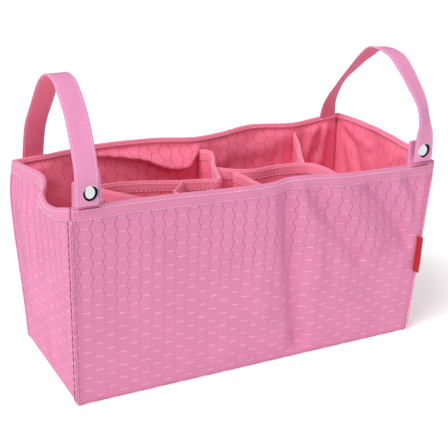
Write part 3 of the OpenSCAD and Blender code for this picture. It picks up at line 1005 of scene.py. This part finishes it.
def make_tab(side):
    """Doubled tab that stands out of the front hem behind the strap's end, and a dark red line at its foot.
    """
    low, high = node_box(f"{side}_tab")
    shift, lift, tilt = (-1.2, 5.0, 24.0) if side == "left" else (0.0, -2.5, 0.0)
    width = high.x - low.x + 1
    middle_x, middle_y = (low.x + high.x) / 2, (low.y + high.y) / 2
    left, right = (corner.x for corner in corner_pair("front", 1))
    seam_length = 16

    def path(u):
        lean = math.radians(tilt * smooth(u * 1.2 - 0.2))
        middle = Vector((middle_x + shift * u, middle_y, low.z + (high.z + lift - low.z) * u))
        return middle, Vector((math.cos(lean), 0, math.sin(lean))), Vector((0, -1, 0))

    def foot(u):
        s = (middle_x + (u - 0.5) * seam_length - left) / (right - left)
        return wall_point("front", s, WALL_H - 0.9, -TAPE - 0.45), Vector((0, -1, 0.3))

    # A dark red row of stitches just under the tab, which draws the dark line there
    seam = stitch_row(foot, seam_length, 3.0, 0.96)
    materials = [STRAP, THREAD, STRAP, DARK_RED_LINE]
    piece, length = ribbon(f"{side}_tab_cloth", path, width, 1.0, materials, 1.5, 0.0, seam)
    finish_piece(piece, "strap_fabric", "bag", f"{side}_tab")


def show_node(node, material):
    """Gives a CAD node that stays in view its material."""
    obj = frame["nodes"][node]
    obj.data.materials.clear()
    obj.data.materials.append(material)


def make_cap(side, snap):
    """Polished domed cap with a rolled rim, and steel for the snap's CAD parts behind it."""
    low, high = node_box(f"{side}_snap_cap")
    radius = (high.x - low.x) / 2
    rise = 2.6
    sphere = (radius ** 2 + rise ** 2) / (2 * rise)
    profile = [(0.05, rise)]
    for k in range(1, 15):
        r = radius * 0.965 * k / 14
        profile.append((r, rise - sphere + math.sqrt(sphere ** 2 - r * r)))
    profile += [(radius * 0.995, 0.28), (radius, 0.1), (radius * 0.99, -0.12), (radius * 0.95, -0.25),
                (1.4, -0.25), (1.4, -1.4), (0.05, -1.4)]
    seat = Vector((snap.x, snap.y + rise, snap.z))
    cap = lathe(f"{side}_cap_dome", profile[::-1], seat, Vector((0, -1, 0)), [STEEL])
    finish_piece(cap, "snap_metal", f"{side}_handle_end", f"{side}_snap_cap")
    for part in ("snap_socket", "snap_stud", "snap_ring"):
        show_node(f"{side}_{part}", STEEL)


def make_label():
    """Blank ribbon, folded double, with its fold outwards and stitches of its own colour."""
    low, high = node_box("side_label")
    joint = next(j for j in frame["joints"] if j["child"] == "label")
    root = Vector(joint["pos_m"]) / MM
    axis = Vector(joint["axis"]).normalized()
    tall = high.z - low.z - 0.4
    turn = math.radians(14)
    out = Vector((math.sin(turn), -math.cos(turn), 0))
    side = Vector((math.cos(turn), math.sin(turn), 0))
    reach, gap = 6.0, 0.35
    fold_start, fold_end = 0.42, 0.58  # where the fold lies across the ribbon

    def surface(u, v, w):
        off = gap * (0.55 if w else 1.0) + 0.12 * math.sin(v * 7)
        run = reach - (0.3 if w else 0.05)
        if u < fold_start:
            a, b = run * u / fold_start, -off
        elif u > fold_end:
            a, b = run * (1 - u) / fold_start, off
        else:
            angle = math.pi * (u - 0.5) / (fold_end - fold_start)
            a, b = run + math.cos(angle) * off * 0.9, math.sin(angle) * off
        bow = 0.5 * math.sin(v * math.pi) * (a / reach) ** 2
        return root + axis * (tall * v) + out * a + side * (b + bow)

    spots = []
    for face in (-1, 1):
        def place(v):
            return root + axis * (tall * v) + out * 1.6 + side * (face * (gap + 0.12)), side * face

        spots += stitch_row(place, tall, 2.6)
    piece = sheet_piece("side_label_ribbon", surface, 44, 24, (2 * reach, tall), [LABEL, LABEL], spots)
    finish_piece(piece, "label_ribbon", "label", "side_label")


# ---- floor, light and camera ----


def make_floor():
    """Plain white floor, which reflections leave out."""
    n = Nodes("floor")
    grain = n.noise(n.add("ShaderNodeTexCoord").outputs["Object"], 60, 3.0)
    n.set(Base_Color=n.mix(grain, (0.93, 0.93, 0.93), (0.9, 0.9, 0.9)), Roughness=0.85)
    n.set(Emission_Color=(1, 1, 1, 1), Emission_Strength=0.22)
    mesh = bpy.data.meshes.new("floor")
    far = 40.0
    corners = [(-far, -far, 0), (far, -far, 0), (far, far, 0), (-far, far, 0)]
    mesh.from_pydata(corners, [], [(0, 1, 2, 3)])
    mesh.materials.append(n.material)
    floor = place_object("floor", mesh)
    floor.location.z = -0.0004
    floor.visible_glossy = False


def make_world():
    """White room; polished metal sees one tall white panel in a dark room."""
    world = bpy.data.worlds.new("studio")
    bpy.context.scene.world = world
    world.use_nodes = True
    tree = world.node_tree
    white = tree.nodes["Background"]
    white.inputs["Color"].default_value = (1, 1, 1, 1)
    white.inputs["Strength"].default_value = 0.6
    where, ramp, dark, rays, mix, squash, unit, facing = (
        tree.nodes.new(f"ShaderNode{kind}")
        for kind in ("TexCoord", "ValToRGB", "Background", "LightPath", "MixShader", *["VectorMath"] * 3)
    )
    squash.operation = "MULTIPLY"
    squash.inputs[1].default_value = (1, 1, 0.55)
    unit.operation = "NORMALIZE"
    facing.operation = "DOT_PRODUCT"
    facing.inputs[1].default_value = (0.10, -0.995, 0.0)
    for element, position, value in zip(ramp.color_ramp.elements, (0.66, 0.71), (0.01, 1.0)):
        element.position = position
        element.color = (value, value, value, 1)
    for source, target in (
        (where.outputs["Generated"], squash.inputs[0]),
        (squash.outputs[0], unit.inputs[0]),
        (unit.outputs[0], facing.inputs[0]),
        (facing.outputs["Value"], ramp.inputs[0]),
        (ramp.outputs[0], dark.inputs["Color"]),
        (rays.outputs["Is Glossy Ray"], mix.inputs[0]),
        (white.outputs[0], mix.inputs[1]),
        (dark.outputs[0], mix.inputs[2]),
        (mix.outputs[0], tree.nodes["World Output"].inputs[0]),
    ):
        tree.links.new(source, target)


def make_light(name, place, spread, strength):
    """Soft light that shines from the direction of place; spread is its width in degrees."""
    data = bpy.data.lights.new(name, "SUN")
    data.angle = math.radians(spread)
    data.energy = strength
    light = place_object(name, data)
    light.location = place
    light.rotation_mode = "QUATERNION"
    light.rotation_quaternion = Vector(place).to_track_quat("Z", "Y")


def make_camera():
    """Camera at the photo's angle, solved from the mouth's and the base's corners."""
    azimuth, elevation, roll = (math.radians(a) for a in (-27.76, 21.35, 1.53))
    distance, across, above = 0.8787, 0.00135, 0.0208
    back = Vector((math.sin(azimuth), -math.cos(azimuth), 0)) * math.cos(elevation)
    back.z = math.sin(elevation)
    level = Vector((math.cos(azimuth), math.sin(azimuth), 0))
    upright = back.cross(level)
    right = level * math.cos(roll) + upright * math.sin(roll)
    up = upright * math.cos(roll) - level * math.sin(roll)
    data = bpy.data.cameras.new("camera")
    data.sensor_width = 36.0
    data.lens = 81.69
    camera = place_object("camera", data)
    camera.matrix_world = Matrix((right, up, back)).transposed().to_4x4()
    camera.location = Vector((0, 0, WALL_H / 2 * MM)) + back * distance + right * across + up * above
    bpy.context.scene.camera = camera


bpy.context.scene.view_settings.view_transform = "Standard"
make_camera()
make_world()
make_floor()
make_light("key", (-0.62, -0.22, 0.8), 34, 2.35)

for wall in WALLS:
    for layer in LAYERS:
        make_wall_layer(wall, layer)
    make_wall_hem(wall)
make_base()
for corner in CORNERS:
    make_corner_seam(corner)
for name in DIVIDERS:
    make_divider(name)
for side in ("left", "right"):
    make_handle(side)
make_label()
show_node("base_board", BOARD)
